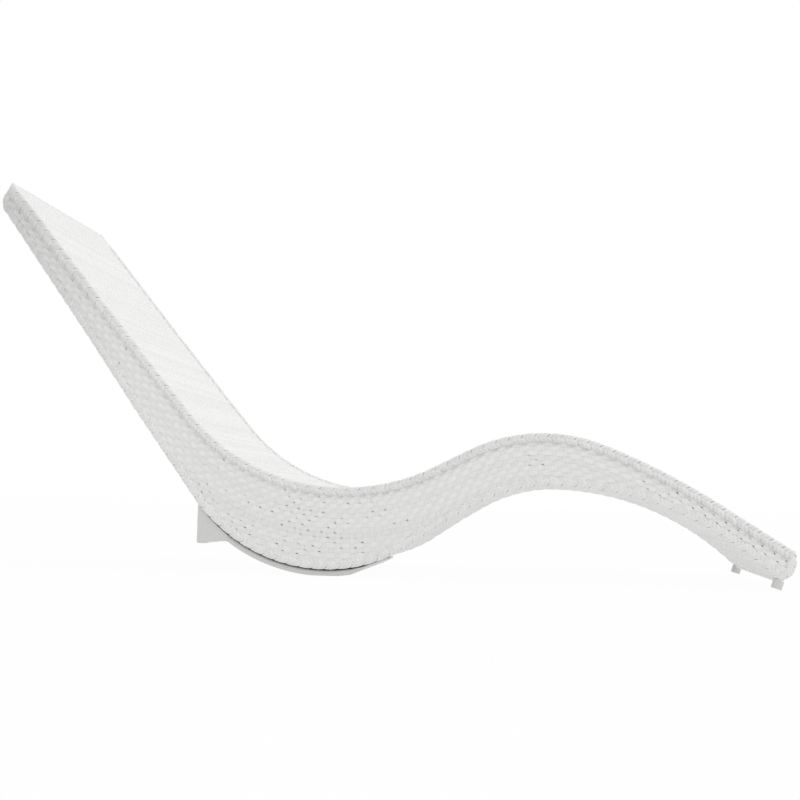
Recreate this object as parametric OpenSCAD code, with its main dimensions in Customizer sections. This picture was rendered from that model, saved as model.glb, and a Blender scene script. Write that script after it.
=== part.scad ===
// Woven relaxation lounger: a wave-shaped aluminium tube frame dressed in flat
// synthetic cane, with a moulded rocker base under the seat and two stub feet
// at the leg end. X runs from head to foot, Z is up, the width runs along Y.
// The side view is drawn first, in a plane of its own, and stood up at the end.

/* [Seat line] */
// Overall width over the edge braids
body_w = 650; // [560:1:740]
// Height of the lowest point of the seat line
seat_h = 205.5; // [195:0.5:225]
// Slope of the backrest in degrees
back_angle = 49.5; // [46:0.5:52]
// Straight run of the backrest
back_len = 722; // [600:1:800]
// Radius of the seat hollow
dip_r = 488; // [470:1:510]
// Slope of the rise under the thighs in degrees
rise_angle = 27; // [25:0.5:29]
// Straight run between the hollow and the crest
rise_len = 90; // [70:1:110]
// Radius over the knees
crest_r = 375; // [350:1:400]
// Slope in degrees where the knee bend ends
crest_angle = 21; // [18:0.5:24]
// Radius of the calf stretch
leg_r = 1525; // [1400:5:1650]
// Slope of the leg end in degrees
leg_angle = 32; // [30:0.5:34]
// Height of the seat line's end at the feet
foot_h = 84; // [80:1:92]

/* [Underside line] */
// Radius of the belly that rests on the base
belly_r = 387; // [375:1:400]
// How far the belly's lowest point lies towards the head
belly_shift = 39; // [30:1:48]
// Depth of the body under the crest
arch_t = 119.5; // [110:0.5:130]
// How far the top of the leg arch lies towards the foot
arch_shift = 24.5; // [15:0.5:35]
// Straight run of the underside between the belly and the leg arch
under_rise_len = 163.7; // [145:0.1:180]

/* [Ends] */
// Width of the head end face in side view
head_t = 63; // [61:1:75]
// Lean of the head end face from upright in degrees
head_lean = 17.5; // [14:0.5:20]
// Crown of the head end face
head_bulge = 14; // [11:0.5:17]
// Width of the foot end face in side view
foot_t = 71; // [67:1:76]
// Lean of the foot end face from upright in degrees
foot_lean = 29; // [26:0.5:32]
// Crown of the foot end face
foot_bulge = 21; // [18:0.5:23]

/* [Frame tubes] */
// Diameter of the four side rails and the end tubes
rail_d = 16; // [15:0.5:17]
// Wall of the rails
rail_wall = 1.5; // [1:0.1:2.5]
// Diameter of the cross tubes
cross_d = 14; // [12:0.5:16]
// Wall of the cross tubes
cross_wall = 1.5; // [1:0.1:2.5]
// Spacing of the cross tubes along the seat line
cross_pitch = 165; // [120:1:240]
// Diameter of the uprights in the sides
upright_d = 10; // [8:0.5:14]
// Spacing of the uprights along the underside line
upright_pitch = 150; // [110:1:220]

/* [Cane] */
// Thickness of the woven skin
skin_t = 3; // [2:0.1:3.5]
// Thickness of the edge braid
braid_t = 3; // [2:0.1:3.5]
// How far the braid laps past the rail centre
braid_lap = 7.5; // [4:0.5:12]

/* [Rocker base] */
// Width of the base
base_w = 600; // [500:1:620]
// Thickness of the rocker plate
base_t = 13; // [11:0.5:16]
// Air gap between the cane and the rocker plate
base_gap = 4; // [2:0.5:6]
// Length of the flat on which the rocker stands
land_l = 64; // [40:1:90]
// Distance from the belly's lowest point back to the heel's rear face
heel_back = 312; // [300:1:316]
// Height of the heel's sole above the floor
heel_h = 68; // [60:1:76]
// Length of the heel's sole
heel_l = 25; // [20:1:32]
// Step up from the heel's sole to its run-out, and the length it takes
runout_h = 6; // [3:0.5:9]
runout_l = 12; // [8:1:20]
// Wall of the heel
heel_wall = 6; // [4:0.5:8]
// Thickness of the ribs in the heel
rib_t = 5; // [3:0.5:8]
// Distance from the belly's lowest point forward to the plate's front end
nose_l = 95; // [88:1:110]
// Length over which the plate thins towards that end
bow_l = 34; // [20:1:45]
// Thickness left at the front end
lip_t = 4; // [3:0.5:6]
// Corner radius of the front end in plan
nose_r = 30; // [15:1:60]
// Rounding of the rocker plate's long edges
edge_r = 5; // [3:0.5:5.2]

/* [Base fixing] */
// Bolt shank diameter
bolt_d = 8; // [6:1:10]
// Distance of the bolts from the centre line
bolt_y = 190; // [140:1:240]
// Angle of the rear bolt row from the belly's lowest point
bolt_angle = 16; // [12:0.5:18]
// Angle of the front bolt row
front_angle = 7; // [6.5:0.1:7.2]
// Width of the two bars that take the bolts
bar_w = 30; // [26:1:40]
// Wall of those bars
bar_wall = 2; // [1.5:0.1:3]

/* [Feet] */
// Outer diameter of the foot glides
glide_d = 24.5; // [22:0.5:27]
// Wall of the foot glides
glide_wall = 3; // [2:0.1:4]
// Height of the foot glides
glide_h = 20; // [14:0.5:21]
// Tilt of the feet in degrees
foot_tilt = 18; // [14:1:22]
// How far the feet stand ahead of the end tube
foot_ahead = 4; // [0:0.5:5]

/* [Hidden] */
bolt_rows = [-bolt_angle, front_angle];
$fn = 96;

// Clearance between pieces that seat on each other
fit = 0.3;
// Overrun of every cutting shape
over = 1;
// Angle between two points of a panel outline
step_angle = 3;
// Facets of the braid round its rail
braid_steps = 6;
// Lap between the pieces of a sweep, and the step in thickness there
join = 0.5;
seam = 0.1;

rail_r = rail_d / 2;
// Depth of a rail's axis below the outer faces
rail_set = braid_t + fit + skin_t + fit + rail_r;
rail_y = body_w / 2 - rail_set;
end_t = braid_t + fit + skin_t;
cross_r = cross_d / 2;
cross_set = rail_set - rail_r + cross_r;
// Larger than the part, for half planes
far = 2 * back_len;

// Unit vectors along and to the left of a heading
function along(a) = [cos(a), sin(a)];
function left(a) = [-sin(a), cos(a)];

// The seat line, from head to foot: points where its pieces meet
dip = [0, seat_h];
back_end = dip + dip_r * [-sin(back_angle), 1 - cos(back_angle)];
head_tip = back_end - back_len * along(-back_angle);
rise_start = dip + dip_r * [sin(rise_angle), 1 - cos(rise_angle)];
rise_end = rise_start + rise_len * along(rise_angle);
crest = rise_end + crest_r * [sin(rise_angle), 1 - cos(rise_angle)];
calf_start = crest + crest_r * [sin(crest_angle), cos(crest_angle) - 1];
calf_end = calf_start + leg_r * [sin(leg_angle) - sin(crest_angle), cos(leg_angle) - cos(crest_angle)];
leg_len = (calf_end.y - foot_h) / sin(leg_angle);
foot_tip = calf_end + leg_len * along(-leg_angle);

// A line is a list of [start point, heading, length, radius, turn]
seat_line = [
    [head_tip, -back_angle, back_len, 0, 0],
    [back_end, -back_angle, 0, dip_r, back_angle + rise_angle],
    [rise_start, rise_angle, rise_len, 0, 0],
    [rise_end, rise_angle, 0, crest_r, -rise_angle - crest_angle],
    [calf_start, -crest_angle, 0, leg_r, crest_angle - leg_angle],
    [calf_end, -leg_angle, leg_len, 0, 0]];

// The rocker: its plate lies round the belly, and a flat is cut at the floor
plate_in = belly_r + base_gap;
plate_out = plate_in + base_t;
land_cut = plate_out - sqrt(pow(plate_out, 2) - pow(land_l / 2, 2));
belly_o = [-belly_shift, plate_out - land_cut];

// The underside line hangs from the seat line by the depths of the body
head_heel = head_tip - head_t * [sin(head_lean), cos(head_lean)];
to_belly = belly_o - head_heel;
under_back = atan2(to_belly.y, to_belly.x) - asin(belly_r / norm(to_belly));
under_back_len = sqrt(to_belly * to_belly - pow(belly_r, 2));
arch_top = crest + [arch_shift, -arch_t];
to_top = arch_top - belly_o;
arch_r = (to_top * to_top - pow(under_rise_len, 2) - pow(belly_r, 2)) / (2 * (belly_r + to_top.y));
arch_o = arch_top - [0, arch_r];
to_arch = arch_o - belly_o;
under_rise = atan2(to_arch.y, to_arch.x) + asin((belly_r + arch_r) / norm(to_arch));
foot_heel = foot_tip - foot_t * [sin(foot_lean), cos(foot_lean)];
shin = [foot_heel.x - arch_top.x, arch_top.y - foot_heel.y];
shin_r = shin * shin / (2 * shin.y);
shin_turn = atan2(shin.x, shin_r - shin.y);
belly_line = [
    [head_heel, under_back, under_back_len, 0, 0],
    [belly_o - belly_r * left(under_back), under_back, 0, belly_r, under_rise - under_back],
    [belly_o - belly_r * left(under_rise), under_rise, under_rise_len, 0, 0],
    [arch_o + arch_r * left(under_rise), under_rise, 0, arch_r, -under_rise],
    [arch_top, 0, 0, shin_r, -shin_turn]];

// The crowned end faces: radius and centre of the arc through tip and heel
function crown_r(w, h) = (w * w / 4 + h * h) / (2 * h);
head_out = [-cos(head_lean), sin(head_lean)];
foot_out = [cos(foot_lean), -sin(foot_lean)];
head_r = crown_r(head_t, head_bulge);
foot_r = crown_r(foot_t, foot_bulge);
head_o = (head_tip + head_heel) / 2 + (head_bulge - head_r) * head_out;
foot_o = (foot_tip + foot_heel) / 2 + (foot_bulge - foot_r) * foot_out;

// The part stands with the middle of its length at X = 0
mid_x = (head_o.x - head_r + foot_o.x + foot_r) / 2;

// Length of a piece of a line, and [point, heading] at a distance along it
function piece_len(s) = s[3] == 0 ? s[2] : s[3] * abs(s[4]) * PI / 180;
function turned(s, d) = sign(s[4]) * d / s[3] * 180 / PI;
function on_piece(s, d) = s[3] == 0
    ? [s[0] + d * along(s[1]), s[1]]
    : [s[0] + sign(s[4]) * s[3] * (left(s[1]) - left(s[1] + turned(s, d))), s[1] + turned(s, d)];
function line_len(line, i = 0) = i == len(line) ? 0 : piece_len(line[i]) + line_len(line, i + 1);
function at(line, d, i = 0) = i == len(line) - 1 || d <= piece_len(line[i])
    ? on_piece(line[i], d) : at(line, d - piece_len(line[i]), i + 1);
function shifted(q, n) = q[0] + n * left(q[1]);

// Distance along the seat line at which it lies square above a point of the underside
function above(p, a, lo, hi, k) = k == 0 ? (lo + hi) / 2
    : let (m = (lo + hi) / 2) (at(seat_line, m)[0] - p) * along(a) > 0
        ? above(p, a, lo, m, k - 1) : above(p, a, m, hi, k - 1);

// Points of a line moved sideways by n
function piece_points(s, n) = let (k = s[3] == 0 ? 1 : ceil(abs(s[4]) / step_angle))
    [for (i = [0:k]) shifted(on_piece(s, piece_len(s) * i / k), n)];
function line_points(line, n) = [for (s = line) each piece_points(s, n)];
function backwards(p) = [for (i = [len(p) - 1:-1:0]) p[i]];

// Where a rail's straight end runs into the crowned end: the seat of the end tube
function reach(p, u, o, r) = let (w = p - o, b = w * u) sqrt(b * b - w * w + r * r) - b;
head_in_r = head_r - end_t - fit - rail_r;
foot_in_r = foot_r - end_t - fit - rail_r;
head_up_p = shifted([head_tip, -back_angle], -rail_set);
head_up = head_up_p - reach(head_up_p, -along(-back_angle), head_o, head_in_r) * along(-back_angle);
head_low_p = shifted([head_heel, under_back], rail_set);
head_low = head_low_p - reach(head_low_p, -along(under_back), head_o, head_in_r) * along(under_back);
foot_up_p = shifted([foot_tip, -leg_angle], -rail_set);
foot_up = foot_up_p + reach(foot_up_p, along(-leg_angle), foot_o, foot_in_r) * along(-leg_angle);
foot_low_p = shifted([foot_heel, -shin_turn], rail_set);
foot_low = foot_low_p + reach(foot_low_p, along(-shin_turn), foot_o, foot_in_r) * along(-shin_turn);

// Stations of the cross tubes and uprights
seat_n = round(line_len(seat_line) / cross_pitch);
belly_n = round(line_len(belly_line) / cross_pitch);
upright_n = round(line_len(belly_line) / upright_pitch);
function stations(line, n) = [for (i = [1:n - 1]) line_len(line) * i / n];

// The foot: its axis passes ahead of the lower end tube and meets the floor with its edge
foot_dir = [sin(foot_tilt), cos(foot_tilt)];
sole_y = glide_d / 2 * sin(foot_tilt);
sole = [foot_low.x + foot_ahead - (foot_low.y - sole_y) * tan(foot_tilt), sole_y];
stub_r = glide_d / 2 - glide_wall - fit;
stub_l = norm([foot_low.x + foot_ahead, foot_low.y] - sole);

// The base fixing, by distance from the rocker's centre
skin_in_r = belly_r - end_t;
bar_out_r = sqrt(pow(skin_in_r - fit, 2) - pow(bar_w / 2, 2));
bar_in_r = bar_out_r - rail_d;
bar_l = 2 * (rail_y - rail_r - fit);
bolt_r = bolt_d / 2;
washer_r = bolt_d;
washer_t = bolt_d / 5;
bolt_head_r = bolt_d * 0.875;
bolt_head_h = bolt_d * 0.5;
spacer_r = bolt_d * 1.25;
spacer_l = sqrt(pow(plate_in, 2) - pow(spacer_r, 2)) - bar_out_r;
nut_r = bolt_d * 0.94;
nut_h = bolt_d * 0.8;
bore_floor = plate_out - bolt_head_h - washer_t - fit;
counterbore_r = washer_r + 2 * fit;

module stand() translate([-mid_x, 0, 0]) rotate([90, 0, 0]) children();
module flip() mirror([0, 0, 1]) children();
module at_point(p) translate([p.x, p.y, 0]) children();

// Carries a section along a line: its x is the distance to the left, its y the width.
// The pieces lap, and every second one is drawn slimmer by $inset, so that its ends sit
// cleanly inside its neighbours
module sweep(line) {
    for (i = [0:len(line) - 1]) {
        s = line[i];
        more = s[3] == 0 ? 0 : join / s[3] * 180 / PI;
        $inset = i % 2 * seam;
        at_point(s[0]) rotate([0, 0, s[1]]) {
            if (s[3] == 0)
                translate([-join, 0, 0]) rotate([90, 0, 90]) linear_extrude(s[2] + 2 * join) children();
            else if (s[4] > 0)
                translate([0, s[3], 0]) rotate([0, 0, -90 - more])
                    rotate_extrude(angle = s[4] + 2 * more) translate([s[3], 0]) mirror([1, 0]) children();
            else
                translate([0, -s[3], 0]) rotate([0, 0, 90 + s[4] - more])
                    rotate_extrude(angle = 2 * more - s[4]) translate([s[3], 0]) children();
        }
    }
}

// Half plane to the left of a heading through a point
module half_plane(p, a) translate([p.x, p.y]) rotate(a) translate([-far, 0]) square([2 * far, far]);

// All that lies past an end's inner face, so that the other pieces stop there
module past_end(o, r, a) {
    linear_extrude(body_w + 2 * over, center = true) difference() {
        half_plane(o, a);
        translate([o.x, o.y]) circle(r - end_t - fit);
    }
}
module trim_ends() difference() {
    children();
    past_end(head_o, head_r, 90 - head_lean);
    past_end(foot_o, foot_r, -90 - foot_lean);
}

module rail(line, n) sweep(line) translate([n, rail_y]) difference() {
    circle(rail_r - $inset);
    circle(rail_r - rail_wall + $inset);
}
module end_bar(p, r) at_point(p) cylinder(h = body_w - 2 * end_t - 2 * fit, r = r, center = true);

// The rails are coped to the end tubes, which close the frame across its width; the
// lower ones, bent right up to the foot end, are cut square there
module behind(p, a) linear_extrude(body_w + 2 * over, center = true) half_plane(p, a);
module upper_rail() color("gainsboro") difference() {
    rail(seat_line, -rail_set);
    behind(head_up, 90 - back_angle);
    behind(foot_up, -90 - leg_angle);
    end_bar(head_up, rail_r + fit);
    end_bar(foot_up, rail_r + fit);
}
module lower_rail() color("gainsboro") difference() {
    rail(belly_line, rail_set);
    behind(head_low, 90 + under_back);
    behind(foot_low - (rail_r + fit) * along(-shin_turn), -90 - shin_turn);
    end_bar(head_low, rail_r + fit);
}
module end_tube(p) difference() {
    end_bar(p, rail_r);
    at_point(p) cylinder(h = body_w, r = rail_r - rail_wall, center = true);
}
module head_end_tubes() color("gainsboro") stand() {
    end_tube(head_up);
    end_tube(head_low);
}
module foot_end_tubes() color("gainsboro") stand() {
    end_tube(foot_up);
    end_tube(foot_low);
}

// Cross tubes and uprights are coped to the rails, each rail being straight enough there
module coping() rotate([0, 90, 0])
    cylinder(h = 2 * (cross_d + upright_d), r = rail_r + fit, center = true);
module cross_tube(q, side) at_point(q[0]) rotate([0, 0, q[1]]) difference() {
    translate([0, side * cross_set, 0]) cylinder(h = 2 * rail_y, r = cross_r, center = true);
    translate([0, side * cross_set, 0]) cylinder(h = 2 * rail_y + over, r = cross_r - cross_wall, center = true);
    for (k = [-1, 1]) translate([0, side * rail_set, k * rail_y]) coping();
}
module seat_cross_tubes() color("gainsboro") stand()
    for (d = stations(seat_line, seat_n)) cross_tube(at(seat_line, d), -1);
// A base bar takes the place of each cross tube it would meet
function bar_at(a) = belly_o + (bar_out_r - rail_r) * [sin(a), -cos(a)];
function clears_bars(p) = min([for (a = bolt_rows) norm(p - bar_at(a))])
    > norm([bar_w, rail_d]) / 2 + cross_r + fit;
module belly_cross_tubes() color("gainsboro") stand()
    for (d = stations(belly_line, belly_n)) {
        q = at(belly_line, d);
        if (clears_bars(shifted(q, cross_set))) cross_tube(q, 1);
    }
module upright(low, high) difference() {
    at_point(low[0]) rotate([0, 0, low[1]]) translate([0, rail_set, 0]) rotate([-90, 0, 0])
        cylinder(h = norm(high[0] - low[0]) - 2 * rail_set, r = upright_d / 2);
    at_point(shifted(low, rail_set)) rotate([0, 0, low[1]]) coping();
    at_point(shifted(high, -rail_set)) rotate([0, 0, high[1]]) coping();
}
module side_uprights() color("gainsboro") translate([0, 0, rail_y])
    for (d = stations(belly_line, upright_n)) {
        low = at(belly_line, d);
        upright(low, at(seat_line, above(low[0], low[1], 0, line_len(seat_line), 24)));
    }

// Woven skins of the seat and the underside, which stop over the rails
module skin_section(n) translate([n + $inset, -rail_y + fit + $inset])
    square([skin_t - 2 * $inset, 2 * (rail_y - fit - $inset)]);
module seat_weave() color("white") stand() trim_ends() sweep(seat_line) skin_section(-end_t);
module underside_weave() color("white") stand() difference() {
    trim_ends() sweep(belly_line) skin_section(end_t - skin_t);
    at_bolts() translate([0, 0, plate_in - belly_r]) cylinder(h = end_t + belly_r, r = spacer_r + fit);
    for (k = [0, 1]) mirror([0, 0, k]) at_foot() cylinder(h = stub_l, r = glide_d / 2 + fit);
}
module side_weave() color("white") trim_ends()
    translate([0, 0, body_w / 2 - end_t]) linear_extrude(skin_t)
        polygon(concat(line_points(seat_line, -rail_set - fit),
                       backwards(line_points(belly_line, rail_set + fit))));

// The end skins are full-width crowned strips between the two lines
module end_strip(o, r, a, tip, top_a, heel, low_a)
    linear_extrude(body_w, center = true) intersection() {
        difference() {
            translate([o.x, o.y]) circle(r);
            translate([o.x, o.y]) circle(r - end_t);
        }
        half_plane(o, a);
        half_plane(tip, top_a + 180);
        half_plane(heel, low_a);
    }
module head_end_weave() color("white") stand()
    end_strip(head_o, head_r, 90 - head_lean, head_tip, -back_angle, head_heel, under_back);
module foot_end_weave() color("white") stand() difference() {
    end_strip(foot_o, foot_r, -90 - foot_lean, foot_tip, -leg_angle, foot_heel, -shin_turn);
    for (k = [0, 1]) mirror([0, 0, k]) at_foot() cylinder(h = stub_l, r = glide_d / 2 + fit);
}

// The edge braid wraps the rail's outer quarter and laps both skins
function quarter(r) = [for (i = [0:braid_steps]) r * along(90 * i / braid_steps)];
module braid_section() {
    out = rail_set - $inset;
    low = rail_set - braid_t + $inset;
    lap = braid_lap - $inset;
    hollow = [for (p = backwards(quarter(rail_r + fit))) p + [$inset, $inset]];
    polygon(concat(quarter(out), [[-lap, out], [-lap, low], [$inset, low]],
                   hollow, [[low, $inset], [low, -lap], [out, -lap]]));
}
module upper_braid() color("white")
    trim_ends() sweep(seat_line) translate([-rail_set, rail_y]) braid_section();
module lower_braid() color("white") difference() {
    trim_ends() sweep(belly_line) translate([rail_set, rail_y]) mirror([1, 0]) braid_section();
    at_foot() cylinder(h = stub_l, r = glide_d / 2 + fit);
}

// The rocker base: a curved plate that thins to its front end, and a ribbed heel behind it
module round_rect(w, h, r) {
    translate([0, -h / 2 + r]) square([w, h - 2 * r]);
    translate([r, -h / 2]) square([w - 2 * r, h]);
    for (x = [r, w - r], y = [r - h / 2, h / 2 - r]) translate([x, y]) circle(r);
}
rear_x = belly_o.x - heel_back;
toe_x = rear_x + heel_l;
nose_x = belly_o.x + nose_l;
rear_r = heel_wall * 3;
sole_r = heel_wall * 1.5;
module base_plan() {
    translate([rear_x + rear_r, -base_w / 2])
        square([nose_x - nose_r - rear_x - rear_r, base_w]);
    translate([rear_x, rear_r - base_w / 2]) square([rear_r + over, base_w - 2 * rear_r]);
    translate([nose_x - nose_r - over, nose_r - base_w / 2]) square([nose_r + over, base_w - 2 * nose_r]);
    for (k = [-1, 1]) {
        translate([rear_x + rear_r, k * (base_w / 2 - rear_r)]) circle(rear_r);
        translate([nose_x - nose_r, k * (base_w / 2 - nose_r)]) circle(nose_r);
    }
}
// The heel's run-out, level until it meets the plate
runout_y = heel_h + runout_h;
runout_x = belly_o.x - sqrt(pow(plate_out, 2) - pow(belly_o.y - runout_y, 2));
module heel_outline() {
    translate([rear_x + sole_r, heel_h + sole_r]) circle(sole_r);
    polygon([[rear_x + sole_r, heel_h], [toe_x, heel_h], [toe_x + runout_l, runout_y],
             [runout_x + over, runout_y], [runout_x + base_t, belly_o.y], [rear_x, belly_o.y],
             [rear_x, heel_h + sole_r]]);
}
// The plate's front end is planed off below, from its full thickness to the lip
nose_angle = asin(nose_l / plate_in);
bow_angle = nose_angle - bow_l / plate_out * 180 / PI;
bow_start = belly_o + plate_out * along(bow_angle - 90);
bow_end = belly_o + (plate_in + lip_t) * along(nose_angle - 90);
bow_slope = atan2(bow_end.y - bow_start.y, bow_end.x - bow_start.x);
module base_shell() color("whitesmoke") stand() difference() {
    intersection() {
        union() {
            at_point(belly_o) rotate([0, 0, -90 - asin(heel_back / plate_in)])
                rotate_extrude(angle = asin(heel_back / plate_in) + nose_angle + over)
                    translate([plate_in, 0]) round_rect(base_t, base_w, edge_r);
            difference() {
                linear_extrude(base_w, center = true) heel_outline();
                at_point(belly_o) cylinder(h = base_w + 2 * over, r = plate_in, center = true);
            }
        }
        rotate([90, 0, 0]) linear_extrude(2 * belly_o.y, center = true) base_plan();
    }
    translate([belly_o.x - land_l, -base_t, -base_w / 2 - over]) cube([2 * land_l, base_t, base_w + 2 * over]);
    at_point(bow_start) rotate([0, 0, bow_slope])
        translate([-bow_l, -base_t, -base_w / 2 - over]) cube([3 * bow_l, base_t, base_w + 2 * over]);
    heel_pockets();
    at_bolts() {
        translate([0, 0, bore_floor]) cylinder(h = base_t, r = counterbore_r);
        translate([0, 0, skin_in_r]) cylinder(h = base_t + skin_in_r, r = bolt_r + fit);
    }
}
// Pockets between the heel's ribs, open towards the cane above
pocket_n = 6;
pocket_w = (base_w - 2 * rear_r - (pocket_n - 1) * rib_t) / pocket_n;
module heel_pockets() for (i = [0:pocket_n - 1])
    translate([rear_x + heel_wall, heel_h + heel_wall, rear_r - base_w / 2 + i * (pocket_w + rib_t)])
        cube([heel_l - heel_wall, belly_o.y, pocket_w]);

// Bolts stand square to the rocker plate, pointing away from its centre
module at_bolts() for (a = bolt_rows, k = [-1, 1])
    at_point(belly_o) rotate([0, 0, a]) translate([0, 0, k * bolt_y]) rotate([90, 0, 0]) children();
module base_bars() color("gainsboro") stand() difference() {
    for (a = bolt_rows) at_point(belly_o) rotate([0, 0, a]) difference() {
        translate([-bar_w / 2, -bar_out_r, -bar_l / 2]) cube([bar_w, rail_d, bar_l]);
        translate([bar_wall - bar_w / 2, bar_wall - bar_out_r, -bar_l / 2 - over])
            cube([bar_w - 2 * bar_wall, rail_d - 2 * bar_wall, bar_l + 2 * over]);
    }
    at_bolts() translate([0, 0, bar_out_r - bar_wall - over])
        cylinder(h = bar_wall + 2 * over, r = bolt_r + fit);
}
module weld_nuts() color("silver") stand() at_bolts() translate([0, 0, bar_out_r - bar_wall - nut_h])
    difference() {
        cylinder(h = nut_h, r = nut_r, $fn = 6);
        translate([0, 0, -over]) cylinder(h = nut_h + 2 * over, r = bolt_r + fit / 3);
    }
module base_spacers() color("silver") stand() at_bolts() translate([0, 0, bar_out_r]) difference() {
    cylinder(h = spacer_l, r = spacer_r);
    translate([0, 0, -over]) cylinder(h = spacer_l + 2 * over, r = bolt_r + fit);
}
module base_washers() color("silver") stand() at_bolts() translate([0, 0, bore_floor]) difference() {
    cylinder(h = washer_t, r = washer_r);
    translate([0, 0, -over]) cylinder(h = washer_t + 2 * over, r = bolt_r + fit);
}
module base_bolts() color("silver") stand() at_bolts() {
    translate([0, 0, bar_in_r + bar_wall + fit])
        cylinder(h = bore_floor + washer_t + over - bar_in_r - bar_wall - fit, r = bolt_r);
    translate([0, 0, bore_floor + washer_t]) difference() {
        cylinder(h = bolt_head_h, r = bolt_head_r);
        translate([0, 0, bolt_head_h / 2]) cylinder(h = bolt_head_h, r = bolt_r * 0.7, $fn = 6);
    }
}

// Each foot is a stub welded to the lower end tube, in a cup-shaped glide
module at_foot() at_point(sole) translate([0, 0, rail_y]) rotate([0, 0, -foot_tilt]) rotate([-90, 0, 0]) children();
module foot_stub() color("gainsboro") difference() {
    at_foot() translate([0, 0, glide_wall + fit]) cylinder(h = stub_l - glide_wall, r = stub_r);
    at_foot() translate([0, 0, glide_wall + fit - over]) cylinder(h = stub_l + over, r = stub_r - rail_wall);
    end_bar(foot_low, rail_r + fit);
}
module foot_glide() color("whitesmoke") at_foot() difference() {
    cylinder(h = glide_h, r = glide_d / 2);
    translate([0, 0, glide_wall]) cylinder(h = glide_h, r = stub_r + fit);
}

module upper_rail_right() stand() upper_rail();
module upper_rail_left() stand() flip() upper_rail();
module lower_rail_right() stand() lower_rail();
module lower_rail_left() stand() flip() lower_rail();
module side_uprights_right() stand() side_uprights();
module side_uprights_left() stand() flip() side_uprights();
module side_weave_right() stand() side_weave();
module side_weave_left() stand() flip() side_weave();
module upper_braid_right() stand() upper_braid();
module upper_braid_left() stand() flip() upper_braid();
module lower_braid_right() stand() lower_braid();
module lower_braid_left() stand() flip() lower_braid();
module foot_stub_right() stand() foot_stub();
module foot_stub_left() stand() flip() foot_stub();
module foot_glide_right() stand() foot_glide();
module foot_glide_left() stand() flip() foot_glide();

upper_rail_right();
upper_rail_left();
lower_rail_right();
lower_rail_left();
head_end_tubes();
foot_end_tubes();
seat_cross_tubes();
belly_cross_tubes();
side_uprights_right();
side_uprights_left();
base_bars();
weld_nuts();
seat_weave();
underside_weave();
side_weave_right();
side_weave_left();
head_end_weave();
foot_end_weave();
upper_braid_right();
upper_braid_left();
lower_braid_right();
lower_braid_left();
base_shell();
base_spacers();
base_washers();
base_bolts();
foot_stub_right();
foot_stub_left();
foot_glide_right();
foot_glide_left();
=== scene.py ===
# Wave-shaped relaxation lounger: flat white synthetic cane woven over a bent tube frame,
# on a moulded rocker base, with two stub feet at the leg end.
import math

import bpy
import numpy as np
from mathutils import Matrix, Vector


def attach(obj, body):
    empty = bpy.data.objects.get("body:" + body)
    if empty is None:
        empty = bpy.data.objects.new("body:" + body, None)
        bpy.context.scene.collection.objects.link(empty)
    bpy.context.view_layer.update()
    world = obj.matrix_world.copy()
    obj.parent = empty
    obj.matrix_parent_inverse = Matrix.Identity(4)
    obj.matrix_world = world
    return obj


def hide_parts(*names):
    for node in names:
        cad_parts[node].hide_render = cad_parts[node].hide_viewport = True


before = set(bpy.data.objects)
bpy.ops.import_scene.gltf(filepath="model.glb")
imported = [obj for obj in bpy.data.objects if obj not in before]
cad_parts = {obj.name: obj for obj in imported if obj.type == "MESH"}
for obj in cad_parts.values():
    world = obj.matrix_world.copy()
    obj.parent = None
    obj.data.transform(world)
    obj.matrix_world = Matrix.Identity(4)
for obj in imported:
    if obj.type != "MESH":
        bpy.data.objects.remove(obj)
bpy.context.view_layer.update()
print("frame loaded,", len(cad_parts), "nodes")

sharpAngle = 40  # edges sharper than this stay sharp when a piece is shaded smooth


# Small helpers
def deselectAll():
    for obj in bpy.context.selected_objects:
        obj.select_set(False)


def makeActive(obj):
    deselectAll()
    obj.select_set(True)
    bpy.context.view_layer.objects.active = obj


def applyModifier(obj, kind, **settings):
    makeActive(obj)
    modifier = obj.modifiers.new(kind.lower(), kind)
    for key, value in settings.items():
        setattr(modifier, key, value)
    bpy.ops.object.modifier_apply(modifier=modifier.name)


def joinAll(parts, name):
    deselectAll()
    for part in parts:
        part.select_set(True)
    bpy.context.view_layer.objects.active = parts[0]
    bpy.ops.object.join()
    whole = bpy.context.object
    whole.name = name
    whole.data.name = name
    return whole


def facesOut(obj):
    makeActive(obj)
    bpy.ops.object.mode_set(mode="EDIT")
    bpy.ops.mesh.select_all(action="SELECT")
    bpy.ops.mesh.normals_make_consistent(inside=False)
    bpy.ops.object.mode_set(mode="OBJECT")
    bpy.ops.object.shade_smooth_by_angle(angle=math.radians(sharpAngle))


def mirrored(obj, name):  # the same piece for the other side, with a mesh of its own
    twin = obj.copy()
    twin.data = obj.data.copy()
    twin.name = name
    bpy.context.scene.collection.objects.link(twin)
    flat = np.empty(len(twin.data.vertices) * 3)
    twin.data.vertices.foreach_get("co", flat)
    flat[1::3] *= -1
    twin.data.vertices.foreach_set("co", flat)
    facesOut(twin)
    return twin


def lengthAlong(points):  # how far each point lies along the line they make
    return np.concatenate([[0], np.cumsum(np.hypot(*np.diff(points, axis=0).T))])


# The side view, as in the tube frame (metres, degrees)
side = {
    "seatHeight": 0.2055, "backAngle": 49.5, "back": 0.722, "dipRadius": 0.488,
    "riseAngle": 27.0, "rise": 0.090, "crestRadius": 0.375, "crestAngle": 21.0,
    "legRadius": 1.525, "legAngle": 32.0, "footHeight": 0.084,
    "bellyRadius": 0.387, "bellyShift": 0.039, "archDepth": 0.1195, "archShift": 0.0245,
    "underRise": 0.1637, "plate": 0.017, "land": 0.064,
    "headFace": 0.063, "headLean": 17.5, "headBulge": 0.014,
    "footFace": 0.071, "footLean": 29.0, "footBulge": 0.021,
}
railDepth = 0.0146  # a rail's axis below the outer faces
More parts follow.
